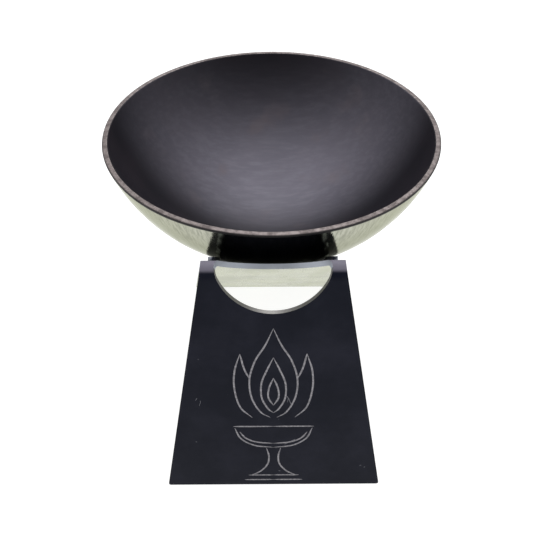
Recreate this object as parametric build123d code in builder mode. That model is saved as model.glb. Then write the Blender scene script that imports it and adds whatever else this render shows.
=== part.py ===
from build123d import *
import math
import os

# A hearth bowl on a folded-sheet stand.
# The stand is one steel sheet folded over a crest: the front leg stands nearly
# upright and the back leg slopes away under the bowl. A round hole, cut through
# the fold, opens as a half-moon in each leg. Two fin-shaped cradle plates are
# welded on the back leg and tied together by a peened rod. The dished bowl rests
# loose in the plates' curved upper edges, behind the crest, and lifts off.
#
# Frame: millimetres, +Z up, origin on the ground under the middle of the whole
# object. X runs along the fold. The front leg is at the -Y end.

# Driving dimensions of the stand
FRONT_FOOT = -146.1        # Y of the front leg's outer edge at the ground
BACK_FOOT = 43.0           # Y of the back leg's outer edge at the ground
CORNER_Y = -117.6          # the sharp corner where the legs' outer faces would meet
CORNER_Z = 179.5
FRONT_HALF_WIDTH = 70.0    # of the front leg at the ground
BACK_HALF_WIDTH = 66.0
CREST_HALF_WIDTH = 38.2
SHEET = 3.0
BEND_RADIUS = 7.0          # outside of the fold
HOLE_HALF_WIDTH = 32.0
HOLE_REACH = 36.5          # down each leg from the sharp corner
FOOT_CORNER = 1.5

# Driving dimensions of the bowl, a slice of a sphere with its centre above the rim
RIM_RADIUS = 115.3
RIM_HEIGHT = 165.0
SPHERE_ABOVE_RIM = 31.0
BOWL_CENTRE = 31.1         # Y of the bowl's axis
BOWL_WALL = 4.0
RIM_ROUND = 1.0

# Driving dimensions of the cradle
PLATE = 3.0
PLATE_INSIDE = 33.0        # X of each plate's inner face
PLATE_TOP = 30.0           # down the back leg from the corner to the plate's upper end
PLATE_LENGTH = 132.0       # along the back leg
PLATE_RISE = 3.5           # height above the leg at the plate's upper end
SEAT_TOP = 92.0            # down the back leg from the corner to where the seat begins
SEAT_RISE = 9.0            # height above the leg where the seat begins
SEAT_CLEARANCE = 0.3
SEAT_PAST_BOTTOM = 12.0    # degrees that the seat runs on past the bowl's lowest point
TIP_DEPTH = 7.0            # of the plate below the seat's far end
PLATE_ROUND = 2.0
ROD_RADIUS = 3.0
ROD_PLACE = (-1.6, 72.0)   # Y and Z of the rod's axis
RIVET_RADIUS = 4.8
RIVET_HEIGHT = 2.2
BEAD_RADIUS = 1.6
BEAD_LENGTH = 22.0
BEADS_PER_PLATE = 3

# Worked-out places, as (Y, Z) pairs in the side view
corner = Vector(CORNER_Y, CORNER_Z)
down_front = (Vector(FRONT_FOOT, 0) - corner).normalized()
down_back = (Vector(BACK_FOOT, 0) - corner).normalized()
out_of_back = Vector(-down_back.Y, down_back.X)
half_fold = math.acos(down_front.dot(down_back)) / 2
into_fold = (down_front + down_back).normalized()
bend_centre = corner + into_fold * (BEND_RADIUS / math.sin(half_fold))
inner_corner = corner + into_fold * (SHEET / math.sin(half_fold))
crest = bend_centre.Y + BEND_RADIUS
front_foot_depth = SHEET * down_front.length / -down_front.Y
back_foot_depth = SHEET * down_back.length / -down_back.Y
sphere_centre = (BOWL_CENTRE, RIM_HEIGHT + SPHERE_ABOVE_RIM)
outer_sphere = math.hypot(RIM_RADIUS, SPHERE_ABOVE_RIM)
inner_sphere = outer_sphere - BOWL_WALL
plate_outside = PLATE_INSIDE + PLATE
seat_radius = math.sqrt(outer_sphere**2 - PLATE_INSIDE**2) + SEAT_CLEARANCE


def on_back_leg(down, out=0.0):
    """(Y, Z) of a point so far down the back leg's outer face, and so far out of it."""
    spot = corner + down_back * down + out_of_back * out
    return (spot.X, spot.Y)


def write(name, label):
    """Label a finished piece and write its STEP file."""
    name.part.label = label
    export_step(name.part, f"parts/{label}.step")


os.makedirs("parts", exist_ok=True)


def folded_leg(down, foot_half_width, keep):
    """One leg with its half of the fold, cut square to its own face for the hole."""
    with BuildPart() as leg:
        with BuildSketch(Plane.YZ.offset(-foot_half_width)):
            with BuildLine():
                outside = FilletPolyline(
                    (FRONT_FOOT, 0), (corner.X, corner.Y), (BACK_FOOT, 0), radius=BEND_RADIUS
                )
                inside = FilletPolyline(
                    (FRONT_FOOT + front_foot_depth, 0),
                    (inner_corner.X, inner_corner.Y),
                    (BACK_FOOT - back_foot_depth, 0),
                    radius=BEND_RADIUS - SHEET,
                )
                Line(outside @ 0, inside @ 0)
                Line(outside @ 1, inside @ 1)
            make_face()
        extrude(amount=2 * foot_half_width)
        with BuildSketch(Plane.XZ):
            with BuildLine():
                Polyline(
                    (-foot_half_width, 0),
                    (-CREST_HALF_WIDTH, crest),
                    (CREST_HALF_WIDTH, crest),
                    (foot_half_width, 0),
                    close=True,
                )
            outline = make_face()
            fillet(outline.vertices().group_by(Axis.Y)[0], FOOT_CORNER)
        extrude(amount=-2 * FRONT_FOOT, both=True, mode=Mode.INTERSECT)
        square_to_leg = (0, -down.Y, down.X)
        with BuildSketch(Plane((0, corner.X, corner.Y), x_dir=(1, 0, 0), z_dir=square_to_leg)):
            Ellipse(HOLE_HALF_WIDTH, HOLE_REACH)
        extrude(amount=HOLE_REACH, both=True, mode=Mode.SUBTRACT)
        across_fold = down_back - down_front
        fold_plane = Plane((0, corner.X, corner.Y), z_dir=(0, across_fold.X, across_fold.Y))
        split(bisect_by=fold_plane, keep=keep)
    return leg


# Stand: both legs joined along the fold.
front_leg = folded_leg(down_front, FRONT_HALF_WIDTH, Keep.BOTTOM)
back_leg = folded_leg(down_back, BACK_HALF_WIDTH, Keep.TOP)
with BuildPart() as stand:
    add(front_leg.part)
    add(back_leg.part)
write(stand, "stand_sheet")


# Bowl: one shell of even wall, turned about its own upright axis, its rim edge rounded.
rim_angle = math.degrees(math.asin(SPHERE_ABOVE_RIM / outer_sphere))
inner_rim_angle = math.degrees(math.asin(SPHERE_ABOVE_RIM / inner_sphere))
with BuildPart() as bowl:
    with BuildSketch(Plane.XZ.offset(-BOWL_CENTRE)):
        with BuildLine():
            outer = CenterArc((0, sphere_centre[1]), outer_sphere, -90, 90 - rim_angle)
            inner = CenterArc((0, sphere_centre[1]), inner_sphere, -90, 90 - inner_rim_angle)
            Line(outer @ 0, inner @ 0)
            Line(outer @ 1, inner @ 1)
        make_face()
    revolve(axis=Axis((0, BOWL_CENTRE, 0), (0, 0, 1)))
    fillet(bowl.edges().group_by(Axis.Z)[-1], RIM_ROUND)
write(bowl, "bowl")


def cradle_plate(start):
    """A fin on the back leg, inner face at X = start, its upper edge the bowl's seat."""
    past = math.radians(SEAT_PAST_BOTTOM)
    seat_end_y = sphere_centre[0] + seat_radius * math.sin(past)
    seat_end_z = sphere_centre[1] - seat_radius * math.cos(past)
    with BuildPart() as plate:
        with BuildSketch(Plane.YZ.offset(start)):
            with BuildLine():
                Polyline(
                    on_back_leg(PLATE_TOP),
                    on_back_leg(PLATE_TOP + PLATE_LENGTH),
                    (seat_end_y, seat_end_z - TIP_DEPTH),
                    (seat_end_y, seat_end_z + TIP_DEPTH),
                    on_back_leg(SEAT_TOP, SEAT_RISE),
                    on_back_leg(PLATE_TOP, PLATE_RISE),
                    close=True,
                )
            make_face()
            with Locations(sphere_centre):
                Circle(seat_radius, mode=Mode.SUBTRACT)
            with Locations(ROD_PLACE):
                Circle(ROD_RADIUS, mode=Mode.SUBTRACT)
        extrude(amount=PLATE)
        rounded = plate.edges().filter_by(Axis.X).sort_by(Axis.Y)[-2:]
        fillet(rounded, PLATE_ROUND)
    return plate


right_plate = cradle_plate(PLATE_INSIDE)
left_plate = cradle_plate(-plate_outside)
write(right_plate, "right_cradle_plate")
write(left_plate, "left_cradle_plate")


# Tie rod: a round bar through both plates, its ends peened into low domes.
rod_y, rod_z = ROD_PLACE
dome_radius = (RIVET_RADIUS**2 + RIVET_HEIGHT**2) / (2 * RIVET_HEIGHT)
dome_centre = plate_outside + RIVET_HEIGHT - dome_radius
half_dome = math.asin(RIVET_RADIUS / dome_radius) / 2
tip_x = plate_outside + RIVET_HEIGHT
mid_x = dome_centre + dome_radius * math.cos(half_dome)
mid_z = rod_z + dome_radius * math.sin(half_dome)
with BuildPart() as tie_rod:
    with BuildSketch(Plane.XZ.offset(-rod_y)):
        with BuildLine():
            Polyline(
                (-plate_outside, rod_z + RIVET_RADIUS),
                (-plate_outside, rod_z + ROD_RADIUS),
                (plate_outside, rod_z + ROD_RADIUS),
                (plate_outside, rod_z + RIVET_RADIUS),
            )
            for side in (-1, 1):
                ThreePointArc(
                    (side * plate_outside, rod_z + RIVET_RADIUS),
                    (side * mid_x, mid_z),
                    (side * tip_x, rod_z),
                )
            Line((-tip_x, rod_z), (tip_x, rod_z))
        make_face()
    revolve(axis=Axis((0, rod_y, rod_z), (1, 0, 0)))
write(tie_rod, "cradle_tie_rod")


# Weld beads: short quarter-round runs along the outer foot of each cradle plate.
bead_pitch = (PLATE_LENGTH - BEAD_LENGTH) / (BEADS_PER_PLATE - 1)
with BuildPart() as beads:
    for side in (-1, 1):
        for number in range(BEADS_PER_PLATE):
            start_y, start_z = on_back_leg(PLATE_TOP + number * bead_pitch)
            start_point = (side * plate_outside, start_y, start_z)
            heading = (0, down_back.X, down_back.Y)
            with BuildSketch(Plane(start_point, x_dir=(1, 0, 0), z_dir=heading)):
                Circle(BEAD_RADIUS)
            extrude(amount=BEAD_LENGTH)
    add(stand.part, mode=Mode.SUBTRACT)
    add(left_plate.part, mode=Mode.SUBTRACT)
    add(right_plate.part, mode=Mode.SUBTRACT)
write(beads, "weld_beads")
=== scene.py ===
import math

import bmesh
import bpy
from mathutils import Matrix, Vector


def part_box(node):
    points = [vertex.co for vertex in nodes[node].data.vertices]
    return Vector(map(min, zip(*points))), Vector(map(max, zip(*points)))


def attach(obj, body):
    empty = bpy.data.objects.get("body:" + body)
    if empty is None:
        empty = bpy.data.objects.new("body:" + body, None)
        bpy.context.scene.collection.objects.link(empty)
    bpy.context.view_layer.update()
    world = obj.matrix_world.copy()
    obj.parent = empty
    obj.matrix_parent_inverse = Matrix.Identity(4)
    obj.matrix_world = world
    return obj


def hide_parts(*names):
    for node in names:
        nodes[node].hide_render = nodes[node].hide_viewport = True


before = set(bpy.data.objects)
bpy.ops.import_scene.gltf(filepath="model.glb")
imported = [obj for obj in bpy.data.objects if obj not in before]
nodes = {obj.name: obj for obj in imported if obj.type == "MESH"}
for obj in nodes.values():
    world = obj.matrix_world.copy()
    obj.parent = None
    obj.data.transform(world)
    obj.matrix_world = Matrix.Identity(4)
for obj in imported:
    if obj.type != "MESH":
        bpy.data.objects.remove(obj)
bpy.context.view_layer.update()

# A hearth bowl in a cradle on a folded sheet stand. Metres, +Z up, the front leg faces -Y.

# Places read from the frame
stand_low, stand_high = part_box("stand_sheet")
bowl_low, bowl_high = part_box("bowl")
plate_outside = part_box("right_cradle_plate")[1].x
bowl_axis = (bowl_low.y + bowl_high.y) / 2

# Shape of the stand that the boxes alone don't say
CORNER = Vector((0, -0.1176, 0.1795))    # where the outer faces of the two legs would meet
front_foot = Vector((0, stand_low.y, 0))
back_foot = Vector((0, stand_high.y, 0))
up_front = (CORNER - front_foot).normalized()
down_back = (back_foot - CORNER).normalized()
out_of_front = Vector((0, -up_front.z, up_front.y))
out_of_back = Vector((0, -down_back.z, down_back.y))

# The camera, at the photograph's distance and tilt
CAMERA_PLACE = Vector((-0.0020, -0.3599, 0.4036))
CAMERA_TILT = math.radians(43.85)
CAMERA_YAW = math.radians(-0.08)
CAMERA_ROLL = math.radians(-0.29)
CAMERA_LENS = 43.33


# --- Nodes -----------------------------------------------------------------------

class Shader:
    """A material's node tree with short calls for the nodes that the finishes use."""

    def __init__(self, name):
        self.material = bpy.data.materials.new(name)
        self.material.use_nodes = True
        self.tree = self.material.node_tree
        self.tree.nodes.clear()
        self.output = self.tree.nodes.new("ShaderNodeOutputMaterial")
        coordinates = self.tree.nodes.new("ShaderNodeTexCoord")
        self.place = coordinates.outputs["Object"]
        self.facing = coordinates.outputs["Normal"]

    def feed(self, socket, value):
        """Link a node's output to a socket, or set the socket to a plain value."""
        if isinstance(value, bpy.types.NodeSocket):
            self.tree.links.new(value, socket)
        elif socket.type == "VECTOR":
            socket.default_value = value[:3]
        else:
            socket.default_value = value

    def math(self, operation, first, second=0.0):
        node = self.tree.nodes.new("ShaderNodeMath")
        node.operation = operation
        self.feed(node.inputs[0], first)
        self.feed(node.inputs[1], second)
        return node.outputs[0]

    def vector(self, operation, first, second=(0, 0, 0)):
        node = self.tree.nodes.new("ShaderNodeVectorMath")
        node.operation = operation
        self.feed(node.inputs[0], first)
        self.feed(node.inputs[1], second)
        return node.outputs["Value"] if operation in ("DOT_PRODUCT", "LENGTH") else node.outputs[0]

    def split(self, vector):
        node = self.tree.nodes.new("ShaderNodeSeparateXYZ")
        self.feed(node.inputs[0], vector)
        return node.outputs

    def join(self, x, y, z):
        node = self.tree.nodes.new("ShaderNodeCombineXYZ")
        for socket, value in zip(node.inputs, (x, y, z)):
            self.feed(socket, value)
        return node.outputs[0]

    def noise(self, vector, scale, detail=4.0, rough=0.5):
        node = self.tree.nodes.new("ShaderNodeTexNoise")
        self.feed(node.inputs["Vector"], vector)
        node.inputs["Scale"].default_value = scale
        node.inputs["Detail"].default_value = detail
        node.inputs["Roughness"].default_value = rough
        return node.outputs["Fac"]

    def cracks(self, vector, scale):
        """Distance to the nearest edge of a field of irregular cells."""
        node = self.tree.nodes.new("ShaderNodeTexVoronoi")
        node.feature = "DISTANCE_TO_EDGE"
        self.feed(node.inputs["Vector"], vector)
        node.inputs["Scale"].default_value = scale
        return node.outputs["Distance"]

    def step(self, value, low, high, to_low=0.0, to_high=1.0):
        """A smooth step from to_low to to_high as the value goes from low to high."""
        node = self.tree.nodes.new("ShaderNodeMapRange")
        node.interpolation_type = "SMOOTHSTEP"
        self.feed(node.inputs["Value"], value)
        node.inputs["From Min"].default_value = low
        node.inputs["From Max"].default_value = high
        node.inputs["To Min"].default_value = to_low
        node.inputs["To Max"].default_value = to_high
        return node.outputs["Result"]

    def blend(self, amount, first, second):
        node = self.tree.nodes.new("ShaderNodeMix")
        node.data_type = "RGBA"
        self.feed(node.inputs["Factor"], amount)
        self.feed(node.inputs["A"], first)
        self.feed(node.inputs["B"], second)
        return node.outputs["Result"]

    def bump(self, height, strength, distance):
        node = self.tree.nodes.new("ShaderNodeBump")
        self.feed(node.inputs["Height"], height)
        node.inputs["Strength"].default_value = strength
        node.inputs["Distance"].default_value = distance
        return node.outputs["Normal"]

    def glancing(self, start, most):
        """Rises from 0 to most as the surface turns edge-on to the eye."""
        node = self.tree.nodes.new("ShaderNodeLayerWeight")
        node.inputs["Blend"].default_value = 0.5
        return self.step(node.outputs["Facing"], start, 1.0, 0.0, most)

    def surface(self, color, rough, metal=0.0, normal=None, specular=0.5, edge_tint=(1, 1, 1, 1)):
        node = self.tree.nodes.new("ShaderNodeBsdfPrincipled")
        self.feed(node.inputs["Base Color"], color)
        self.feed(node.inputs["Roughness"], rough)
        self.feed(node.inputs["Metallic"], metal)
        node.inputs["Specular IOR Level"].default_value = specular
        node.inputs["Specular Tint"].default_value = edge_tint
        if normal is not None:
            self.feed(node.inputs["Normal"], normal)
        return node.outputs["BSDF"]

    def finish(self, shader):
        self.tree.links.new(shader, self.output.inputs["Surface"])
        return self.material

    def mix_surfaces(self, amount, first, second):
        node = self.tree.nodes.new("ShaderNodeMixShader")
        self.feed(node.inputs[0], amount)
        self.tree.links.new(first, node.inputs[1])
        self.tree.links.new(second, node.inputs[2])
        return node.outputs[0]


def stretched(shader, scale):
    """Object coordinates stretched by a factor along each axis."""
    return shader.vector("MULTIPLY", shader.place, scale)


def scratches(shader, scale, width, share):
    """Short, sparse, thin lines: cell edges, kept only where a coarse noise is high."""
    skewed = stretched(shader, (1.0, 0.35, 0.35))
    wavy = shader.noise(shader.place, 45.0, 2.0)
    bent = shader.vector("ADD", skewed, shader.join(shader.math("MULTIPLY", wavy, 0.02), 0.0, 0.0))
    line = shader.step(shader.cracks(bent, scale), 0.0, width, 1.0, 0.0)
    patch = shader.step(shader.noise(shader.place, 83.0, 3.0), share, share + 0.04)
    return shader.math("MULTIPLY", line, patch)


# --- Finishes --------------------------------------------------------------------

# Colours, linear
BARE_STEEL = (0.455, 0.48, 0.315, 1)
CUT_STEEL = (0.46, 0.49, 0.55, 1)
SHADED_CUT_STEEL = (0.21, 0.205, 0.20, 1)
BLACK_COAT = (0.0060, 0.0072, 0.0140, 1)
WORN_COAT = (0.0150, 0.0160, 0.0260, 1)
RUBBED_AND_HIGHLIGHT_COAT = (0.130, 0.122, 0.155, 1)
SCRATCHED_COAT = (0.35, 0.35, 0.38, 1)
ROD_BLACK = (0.025, 0.025, 0.028, 1)
ROD_RUBBED = (0.20, 0.20, 0.21, 1)
WELD_STRAW = (0.20, 0.15, 0.10, 1)
WELD_BLUE = (0.12, 0.13, 0.19, 1)
OIL_BLACK = (0.0065, 0.0058, 0.0090, 1)
OIL_BROWN = (0.012, 0.009, 0.013, 1)
# painted sheen inside the bowl: pale tones for a pool of light on its floor, with brushed strokes and
# rust-tinted patches
PAINTED_SHEEN = (0.140, 0.133, 0.168, 1)
PALE_PAINTED_SHEEN = (0.165, 0.155, 0.192, 1)
BRUSHED_PAINTED_SHEEN = (0.205, 0.195, 0.238, 1)
RUSTY_PAINTED_SHEEN = (0.160, 0.125, 0.130, 1)
POLISHED = (0.49, 0.495, 0.425, 1)
POLISHED_STREAK = (0.31, 0.315, 0.27, 1)
SHADED_POLISHED_LIMB = (0.38, 0.39, 0.33, 1)
LIMB_TINT = (0.66, 0.67, 0.58, 1)
GROUND_RIM = (0.155, 0.130, 0.127, 1)
GROUND_RIM_DARK = (0.078, 0.062, 0.061, 1)
RIM_UNDERSIDE = (0.022, 0.020, 0.021, 1)
ETCHED = (0.30, 0.29, 0.31, 1)
ETCHED_DARK = (0.16, 0.155, 0.17, 1)

ROLLED_GRAIN = (1.0, 0.2, 0.2)
CUT_GRAIN = (3.0, 3.0, 3.0)


def coated(shader, rubbed=0.0):
    """Black coating: satin, faintly mottled, with dust-fine grain and a few pale scratches.

    It's greyer by the amount rubbed: wear from handling, and on the stand's fold also a painted highlight
    where it faces up.
    """
    mottle = shader.noise(shader.place, 28.0, 5.0, 0.6)
    grain = shader.noise(shader.place, 900.0, 2.0)
    marks = scratches(shader, 70.0, 0.012, 0.66)
    color = shader.blend(shader.step(mottle, 0.35, 0.75), BLACK_COAT, WORN_COAT)
    # greyer coat: wear, and on the stand's fold a painted highlight
    color = shader.blend(rubbed, color, RUBBED_AND_HIGHLIGHT_COAT)
    color = shader.blend(shader.math("MULTIPLY", marks, 0.75), color, SCRATCHED_COAT)
    rough = shader.math("ADD", shader.step(mottle, 0.2, 0.8, 0.34, 0.50), shader.math("MULTIPLY", marks, 0.1))
    height = shader.math("ADD", shader.math("MULTIPLY", grain, 0.35), shader.math("MULTIPLY", mottle, 0.65))
    height = shader.math("SUBTRACT", height, shader.math("MULTIPLY", marks, 0.6))
    return shader.surface(color, rough, 0.0, shader.bump(height, 0.35, 0.0002), specular=0.06)


def bare(shader, color, rough_low, rough_high, grain_axis):
    """Bare rolled or cut steel, its grain finer along the axes with the larger factors."""
    grain = shader.noise(stretched(shader, grain_axis), 60.0, 4.0, 0.65)
    cloud = shader.noise(shader.place, 22.0, 3.0)
    shade = shader.step(cloud, 0.3, 0.75, 1.0, 0.72)
    tone = shader.vector("MULTIPLY", color, shade)
    rough = shader.step(grain, 0.2, 0.8, rough_low, rough_high)
    return shader.surface(tone, rough, 1.0, shader.bump(grain, 0.25, 0.0002))


def make_stand_finish():
    """Coated on the outside of the fold, bare inside it and on every cut edge."""
    shader = Shader("stand_finish")
    between = down_back + up_front
    from_corner = shader.vector("SUBTRACT", shader.place, CORNER)
    behind = shader.math("GREATER_THAN", shader.vector("DOT_PRODUCT", from_corner, between), 0.0)
    of_front = shader.vector("DOT_PRODUCT", shader.facing, out_of_front)
    of_back = shader.vector("DOT_PRODUCT", shader.facing, out_of_back)
    change = shader.math("MULTIPLY", shader.math("SUBTRACT", of_back, of_front), behind)
    outward = shader.math("ADD", of_front, change)
    inner = shader.step(outward, -0.40, -0.25, 1.0, 0.0)
    outer = shader.step(outward, 0.22, 0.38)
    sheet = bare(shader, BARE_STEEL, 0.22, 0.34, ROLLED_GRAIN)
    # painted light and shade: the cut edges behind the fold get the lighter cut steel, those in front a
    # darker copy of it
    lit_and_shaded_edge_tone = shader.blend(behind, SHADED_CUT_STEEL, CUT_STEEL)
    edge = bare(shader, lit_and_shaded_edge_tone, 0.42, 0.58, CUT_GRAIN)
    unpainted = shader.mix_surfaces(inner, edge, sheet)
    # partly wear, partly painted highlight: the coat turns greyer where it faces up, at the crest of the fold
    rubbed = shader.step(shader.split(shader.facing)[2], 0.68, 0.90)
    return shader.finish(shader.mix_surfaces(outer, unpainted, coated(shader, rubbed)))


def make_plate_finish():
    """Coated faces, with the coating thin on the cut edges."""
    shader = Shader("plate_finish")
    facing = shader.split(shader.facing)
    face = shader.step(shader.math("ABSOLUTE", facing[0]), 0.5, 0.8)
    patchy = shader.step(shader.noise(shader.place, 130.0, 4.0), 0.42, 0.62)
    worn = shader.math("MULTIPLY", shader.math("SUBTRACT", 1.0, face), patchy)
    edge = bare(shader, CUT_STEEL, 0.35, 0.50, CUT_GRAIN)
    return shader.finish(shader.mix_surfaces(worn, coated(shader), edge))


def make_rod_finish():
    """Black bar with faint turning lines, rubbed brighter on its peened ends."""
    shader = Shader("rod_finish")
    place = shader.split(shader.place)
    reach = shader.math("ABSOLUTE", place[0])
    end = shader.step(reach, plate_outside, plate_outside + 0.0012)
    dents = shader.noise(shader.place, 420.0, 2.0)
    rubbed = shader.math("MULTIPLY", end, shader.step(dents, 0.35, 0.6))
    lines = shader.noise(stretched(shader, (12.0, 0.3, 0.3)), 90.0, 3.0)
    tone = shader.blend(rubbed, ROD_BLACK, ROD_RUBBED)
    height = shader.math("ADD", lines, shader.math("MULTIPLY", dents, end))
    normal = shader.bump(height, 0.4, 0.0003)
    return shader.finish(shader.surface(tone, shader.step(lines, 0.2, 0.8, 0.35, 0.5), 0.8, normal))


def make_weld_finish():
    """Weld metal, heat-tinted from straw to blue along the run."""
    shader = Shader("weld_finish")
    tint = shader.noise(shader.place, 160.0, 3.0)
    tone = shader.blend(shader.step(tint, 0.35, 0.65), WELD_STRAW, WELD_BLUE)
    spatter = shader.noise(shader.place, 1400.0, 3.0)
    rough = shader.step(spatter, 0.3, 0.7, 0.28, 0.48)
    return shader.finish(shader.surface(tone, rough, 1.0, shader.bump(spatter, 0.3, 0.0001)))


# Where the painted sheen lies on the bowl's inside floor, standing in for the lamps' broad highlight
SHEEN_PLACE = (0.007, 0.046, 0.0)        # middle of the painted sheen, from the bowl's axis
SHEEN_OVAL = (0.52, 1.0, 1.0)
SHEEN_INNER = 0.014                      # reach at which the painted sheen begins to thin
SHEEN_OUTER = 0.080                      # reach at which none is left
RIM_BAND = 0.0014                      # below the rim's top
RIM_BAND_FADE = 0.0006


def make_bowl_finish():
    """Oiled black inside with a painted sheen over its floor, ground round the rim, polished outside with
    upright streaks.
    """
    shader = Shader("bowl_finish")
    place = shader.split(shader.place)
    depth = bowl_high.z - bowl_low.z
    radius = (bowl_high.x**2 + depth**2) / (2 * depth)
    centre = (0.0, bowl_axis, bowl_low.z + radius)
    from_centre = shader.vector("NORMALIZE", shader.vector("SUBTRACT", shader.place, centre))
    outward = shader.vector("DOT_PRODUCT", shader.facing, from_centre)
    band_low = bowl_high.z - RIM_BAND
    below_rim = shader.step(place[2], band_low - RIM_BAND_FADE, band_low, 1.0, 0.0)
    outside = shader.math("MULTIPLY", shader.step(outward, 0.55, 0.75), below_rim)
    inside = shader.step(outward, -0.75, -0.55, 1.0, 0.0)
    from_axis = shader.join(place[0], shader.math("SUBTRACT", place[1], bowl_axis), 0.0)
    around = shader.split(shader.vector("NORMALIZE", from_axis))
    upright = shader.join(around[0], around[1], shader.math("MULTIPLY", place[2], 2.2))

    soot = shader.noise(shader.place, 14.0, 5.0, 0.6)
    speck = shader.noise(shader.place, 620.0, 3.0, 0.6)
    patch = shader.noise(shader.place, 38.0, 3.0)
    # painted sheen: a pale pool on the inside floor, fading out towards the walls
    oval = shader.vector("MULTIPLY", shader.vector("SUBTRACT", from_axis, SHEEN_PLACE), SHEEN_OVAL)
    reach = shader.vector("LENGTH", oval)
    ragged = shader.math("ADD", reach, shader.math("MULTIPLY", soot, 0.012))
    sheen_amount = shader.step(ragged, SHEEN_INNER, SHEEN_OUTER, 1.0, 0.0)
    black = shader.blend(shader.step(soot, 0.35, 0.70), OIL_BLACK, OIL_BROWN)
    sheen_tone = shader.blend(shader.step(soot, 0.30, 0.70), PAINTED_SHEEN, PALE_PAINTED_SHEEN)
    strokes = shader.noise(stretched(shader, (0.18, 1.0, 1.0)), 240.0, 5.0, 0.65)
    sheen_tone = shader.blend(shader.step(strokes, 0.38, 0.72, 0.0, 0.55), sheen_tone, BRUSHED_PAINTED_SHEEN)
    black = shader.blend(sheen_amount, black, sheen_tone)
    rust_in_sheen = shader.math("MULTIPLY", shader.step(patch, 0.56, 0.80, 0.0, 0.5), sheen_amount)
    black = shader.blend(rust_in_sheen, black, RUSTY_PAINTED_SHEEN)
    black_rough = shader.step(soot, 0.25, 0.75, 0.46, 0.58)
    black_normal = shader.bump(shader.math("ADD", soot, shader.math("MULTIPLY", speck, 0.25)), 0.25, 0.0006)
    blackened = shader.surface(black, black_rough, 0.0, black_normal, specular=0.14)

    streak = shader.noise(upright, 60.0, 5.0, 0.6)
    broad = shader.noise(upright, 14.0, 3.0, 0.5)
    tone = shader.blend(shader.step(streak, 0.35, 0.70), POLISHED, POLISHED_STREAK)
    polish = shader.step(broad, 0.3, 0.7, 0.10, 0.20)
    height = shader.math("ADD", shader.math("MULTIPLY", streak, 0.5), broad)
    # painted shade: the polished tone is darker where the bowl's outside turns edge-on to the eye
    tone = shader.blend(shader.glancing(0.45, 0.8), tone, SHADED_POLISHED_LIMB)
    polished = shader.surface(tone, polish, 1.0, shader.bump(height, 0.22, 0.0006), edge_tint=LIMB_TINT)

    ground = shader.noise(shader.place, 240.0, 4.0, 0.7)
    rim_tone = shader.blend(shader.step(ground, 0.35, 0.65), GROUND_RIM, GROUND_RIM_DARK)
    rim_tone = shader.blend(shader.step(outward, 0.05, 0.45), rim_tone, RIM_UNDERSIDE)
    rim_normal = shader.bump(ground, 0.3, 0.0003)
    rim = shader.surface(rim_tone, shader.step(ground, 0.3, 0.7, 0.45, 0.62), 0.5, rim_normal)
    body = shader.mix_surfaces(inside, rim, blackened)
    return shader.finish(shader.mix_surfaces(outside, body, polished))


def make_etch_finish():
    """Etched line: bare metal seen through the coating, uneven along its length."""
    shader = Shader("etch_finish")
    fine = shader.noise(shader.place, 700.0, 3.0)
    tone = shader.blend(shader.step(fine, 0.35, 0.65), ETCHED, ETCHED_DARK)
    return shader.finish(shader.surface(tone, 0.55, 0.3, shader.bump(fine, 0.5, 0.0001)))


def paint(thing, material):
    """Give a thing this one material."""
    thing.data.materials.clear()
    thing.data.materials.append(material)


def soften_edges(thing, width):
    """Break the sharp edges so that they catch the light."""
    bevel = thing.modifiers.new("edge_break", "BEVEL")
    bevel.width = width
    bevel.segments = 2
    bevel.limit_method = "ANGLE"
    bevel.angle_limit = math.radians(50)
    bevel.harden_normals = True


# --- Pieces ----------------------------------------------------------------------

def new_piece(name, mesh_builder, body):
    """Turn a finished mesh into a piece that rides on a body."""
    mesh = bpy.data.meshes.new(name)
    mesh_builder.normal_update()
    mesh_builder.to_mesh(mesh)
    mesh_builder.free()
    thing = bpy.data.objects.new(name, mesh)
    bpy.context.scene.collection.objects.link(thing)
    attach(thing, body)
    return thing


STROKE_WIDTH = 0.00105
STROKE_THIN = 0.25           # share of the width that's left at a stroke's ends
STROKE_PROUD = 0.00004
STROKE_SUNK = 0.00012
STEPS_PER_SPAN = 8
MILLIMETRE = 0.001


def smooth_line(points):
    """A smooth line through the given points, a few steps between each pair."""
    points = [Vector(p) for p in points]
    ends = [points[0] * 2 - points[1]] + points + [points[-1] * 2 - points[-2]]
    line = []
    for i in range(1, len(ends) - 2):
        before, start, stop, after = ends[i - 1:i + 3]
        for step in range(STEPS_PER_SPAN):
            t = step / STEPS_PER_SPAN
            line.append(0.5 * (2 * start + (stop - before) * t
                               + (2 * before - 5 * start + 4 * stop - after) * t * t
                               + (3 * start - before - 3 * stop + after) * t**3))
    return line + [points[-1]]


def on_front_leg(across, up, proud):
    """A point on the front leg's outer face, in metres across and up it from its foot."""
    return front_foot + Vector((across, 0, 0)) + up_front * up + out_of_front * proud


def add_stroke(mesh, points):
    """A closed flat ribbon on the front leg, along a line in millimetres, thinner at its ends."""
    line = smooth_line([Vector((x, y, 0)) * MILLIMETRE for x, y in points])
    count = len(line)
    rings = []
    for i, here in enumerate(line):
        heading = (line[min(i + 1, count - 1)] - line[max(i - 1, 0)]).normalized()
        side = Vector((-heading.y, heading.x, 0))
        taper = STROKE_THIN + (1 - STROKE_THIN) * min(1.0, 6 * min(i, count - 1 - i) / count)
        half = side * (STROKE_WIDTH * taper / 2)
        ring = []
        for way, proud in ((1, -STROKE_SUNK), (1, STROKE_PROUD), (-1, STROKE_PROUD), (-1, -STROKE_SUNK)):
            spot = here + half * way
            ring.append(mesh.verts.new(on_front_leg(spot.x, spot.y, proud)))
        rings.append(ring)
    for a, b in zip(rings, rings[1:]):
        for k in range(4):
            mesh.faces.new((a[k], a[(k + 1) % 4], b[(k + 1) % 4], b[k]))
    mesh.faces.new(rings[0][::-1])
    mesh.faces.new(rings[-1])


def mirrored(points):
    """The same line on the other side of the ornament's middle."""
    return [(-x, y) for x, y in points]


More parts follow.
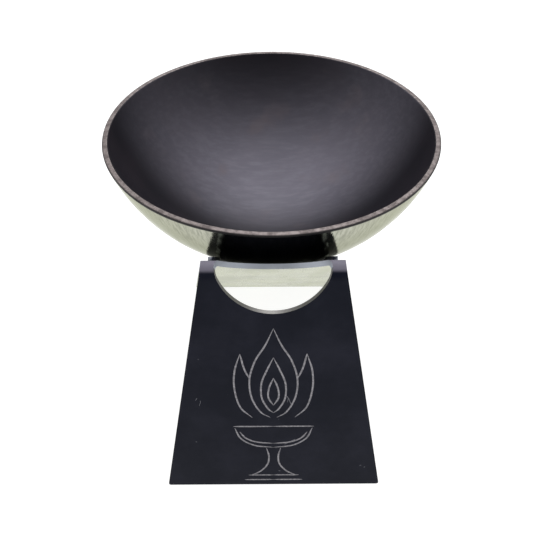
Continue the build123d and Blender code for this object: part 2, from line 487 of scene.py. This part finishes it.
def make_ornament():
    """A plain ornament in thin lines: a flame over a footed fire bowl.

    The points are millimetres across the front leg and up it, for one half of the ornament.
    """
    mesh = bmesh.new()
    flame_half = [
        [(0, 135), (4.5, 123), (10.5, 111), (14, 96.5), (13, 81.5), (8, 69.5), (2, 64.5)],
        [(19, 116.5), (22.5, 103), (23, 88.5), (20, 73.5), (13, 64.5)],
        [(19, 116.5), (17, 105.5), (14.2, 97.5)],
        [(0, 113.5), (3.5, 104.5), (7, 93.5), (7, 81.5), (3.5, 72.5), (0, 68.5)],
        [(0, 97.5), (2.6, 89.5), (3, 81.5), (0, 75)],
    ]
    bowl_half = [
        [(0, 56.5), (14, 56.5), (25, 56.5)],
        [(24, 55), (20.5, 45.5), (12, 39), (0, 37)],
        [(21, 51.5), (17, 45.5), (10, 42), (0, 40.8)],
        [(4.5, 36.5), (3, 28.5), (4, 20.5), (8.5, 13.7), (14.5, 9.7)],
        [(0, 9.7), (8.5, 9.7), (16.5, 9.7)],
        [(0, 5), (10, 5), (19, 5)],
    ]
    for points in flame_half + bowl_half:
        add_stroke(mesh, points)
        add_stroke(mesh, mirrored(points))
    return new_piece("etched_ornament", mesh, "stand")


BEAD_RADIUS = 0.0017
BEAD_LENGTH = 0.022
BEAD_STARTS = (0.030, 0.085, 0.140)    # down the back leg from the corner
BEAD_STEPS = 72
BEAD_SIDES = 12
BEAD_RIPPLES = 9
BEAD_RIPPLE_DEPTH = 0.14               # share of the radius


def make_weld_beads():
    """Rippled weld stitches on the back leg, along the outer foot of each cradle plate."""
    mesh = bmesh.new()
    for side in (-1, 1):
        for start in BEAD_STARTS:
            rings = []
            for i in range(BEAD_STEPS + 1):
                share = i / BEAD_STEPS
                phase = share * BEAD_RIPPLES % 1.0
                ends = min(1.0, 7 * min(share, 1 - share) + 0.25)
                size = BEAD_RADIUS * ends * (1 - BEAD_RIPPLE_DEPTH * (1 - math.sin(math.pi * phase) ** 0.6))
                middle = CORNER + down_back * (start + share * BEAD_LENGTH)
                ring = []
                for k in range(BEAD_SIDES):
                    turn = 2 * math.pi * k / BEAD_SIDES
                    across = Vector((side * (plate_outside + size * math.cos(turn)), 0, 0))
                    ring.append(mesh.verts.new(middle + across + out_of_back * size * math.sin(turn)))
                rings.append(ring)
            for a, b in zip(rings, rings[1:]):
                for k in range(BEAD_SIDES):
                    mesh.faces.new((a[k], b[k], b[(k + 1) % BEAD_SIDES], a[(k + 1) % BEAD_SIDES]))
            mesh.faces.new(rings[0])
            mesh.faces.new(rings[-1][::-1])
    bmesh.ops.recalc_face_normals(mesh, faces=mesh.faces)
    beads = new_piece("weld_runs", mesh, "stand")
    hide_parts("weld_beads")
    for face in beads.data.polygons:
        face.use_smooth = True
    return beads


EDGE_BREAK = 0.00025

plate_finish = make_plate_finish()
paint(nodes["stand_sheet"], make_stand_finish())
paint(nodes["bowl"], make_bowl_finish())
paint(nodes["left_cradle_plate"], plate_finish)
paint(nodes["right_cradle_plate"], plate_finish)
paint(nodes["cradle_tie_rod"], make_rod_finish())
paint(make_weld_beads(), make_weld_finish())
paint(make_ornament(), make_etch_finish())
for name in ("stand_sheet", "left_cradle_plate", "right_cradle_plate"):
    soften_edges(nodes[name], EDGE_BREAK)


# --- Stage -----------------------------------------------------------------------

FLOOR_REACH = 4.0
FLOOR_GREY = (0.30, 0.30, 0.30, 1)
FLOOR_GLOW = 0.88            # keeps the floor pale where the stand shades it
SKY_DIM_FROM = 0.35          # cosine of the angle off the camera's direction
SKY_DIM_TO = 0.95
SKY_DIMMEST = 0.30


def make_floor():
    """A wide pale floor that glows a little."""
    mesh = bpy.data.meshes.new("floor")
    far = FLOOR_REACH
    corners = [(-far, -far, 0), (far, -far, 0), (far, far, 0), (-far, far, 0)]
    mesh.from_pydata(corners, [], [(0, 1, 2, 3)])
    floor = bpy.data.objects.new("floor", mesh)
    bpy.context.scene.collection.objects.link(floor)
    shader = Shader("floor_finish")
    pale = shader.surface(FLOOR_GREY, 0.9, specular=0.1)
    glow = shader.tree.nodes.new("ShaderNodeEmission")
    glow.inputs["Strength"].default_value = FLOOR_GLOW
    both = shader.tree.nodes.new("ShaderNodeAddShader")
    shader.tree.links.new(pale, both.inputs[0])
    shader.tree.links.new(glow.outputs[0], both.inputs[1])
    paint(floor, shader.finish(both.outputs[0]))


def make_world():
    """Even pale surroundings, darker on the camera's side so that the black faces stay black."""
    world = bpy.data.worlds.new("surroundings")
    bpy.context.scene.world = world
    world.use_nodes = True
    tree = world.node_tree
    background = tree.nodes["Background"]
    coordinates = tree.nodes.new("ShaderNodeTexCoord")
    towards = tree.nodes.new("ShaderNodeVectorMath")
    towards.operation = "DOT_PRODUCT"
    towards.inputs[1].default_value = (0, -math.cos(CAMERA_TILT), math.sin(CAMERA_TILT))
    tree.links.new(coordinates.outputs["Generated"], towards.inputs[0])
    fade = tree.nodes.new("ShaderNodeMapRange")
    fade.interpolation_type = "SMOOTHSTEP"
    tree.links.new(towards.outputs["Value"], fade.inputs["Value"])
    fade.inputs["From Min"].default_value = SKY_DIM_FROM
    fade.inputs["From Max"].default_value = SKY_DIM_TO
    fade.inputs["To Min"].default_value = 1.0
    fade.inputs["To Max"].default_value = SKY_DIMMEST
    tree.links.new(fade.outputs["Result"], background.inputs["Strength"])
    background.inputs["Color"].default_value = (1.0, 1.0, 1.0, 1)


def add_softbox(name, place, target, size, power):
    """A round soft light at a place, turned towards a target."""
    light = bpy.data.lights.new(name, "AREA")
    light.shape = "DISK"
    light.size = size
    light.energy = power
    lamp = bpy.data.objects.new(name, light)
    lamp.location = place
    lamp.rotation_mode = "QUATERNION"
    lamp.rotation_quaternion = (Vector(target) - Vector(place)).to_track_quat("-Z", "Y")
    bpy.context.scene.collection.objects.link(lamp)


def make_camera():
    """A camera that looks down on the object from the front, as the photograph does."""
    data = bpy.data.cameras.new("camera")
    data.sensor_width = 36.0
    data.lens = CAMERA_LENS
    data.clip_start = 0.01
    data.clip_end = 20.0
    camera = bpy.data.objects.new("camera", data)
    camera.location = CAMERA_PLACE
    turn = Matrix.Rotation(CAMERA_YAW, 3, "Z") @ Matrix.Rotation(math.pi / 2 - CAMERA_TILT, 3, "X")
    camera.rotation_euler = (turn @ Matrix.Rotation(CAMERA_ROLL, 3, "Z")).to_euler()
    bpy.context.scene.collection.objects.link(camera)
    bpy.context.scene.camera = camera


make_floor()
make_world()
make_camera()
add_softbox("back_light", place=(0.1, 0.75, 1.1), target=(0, 0.03, 0.15), size=0.9, power=9.0)
add_softbox("top_light", place=(0.0, -0.1, 1.6), target=(0, 0, 0.1), size=1.2, power=8.0)
bpy.context.scene.view_settings.view_transform = "Standard"
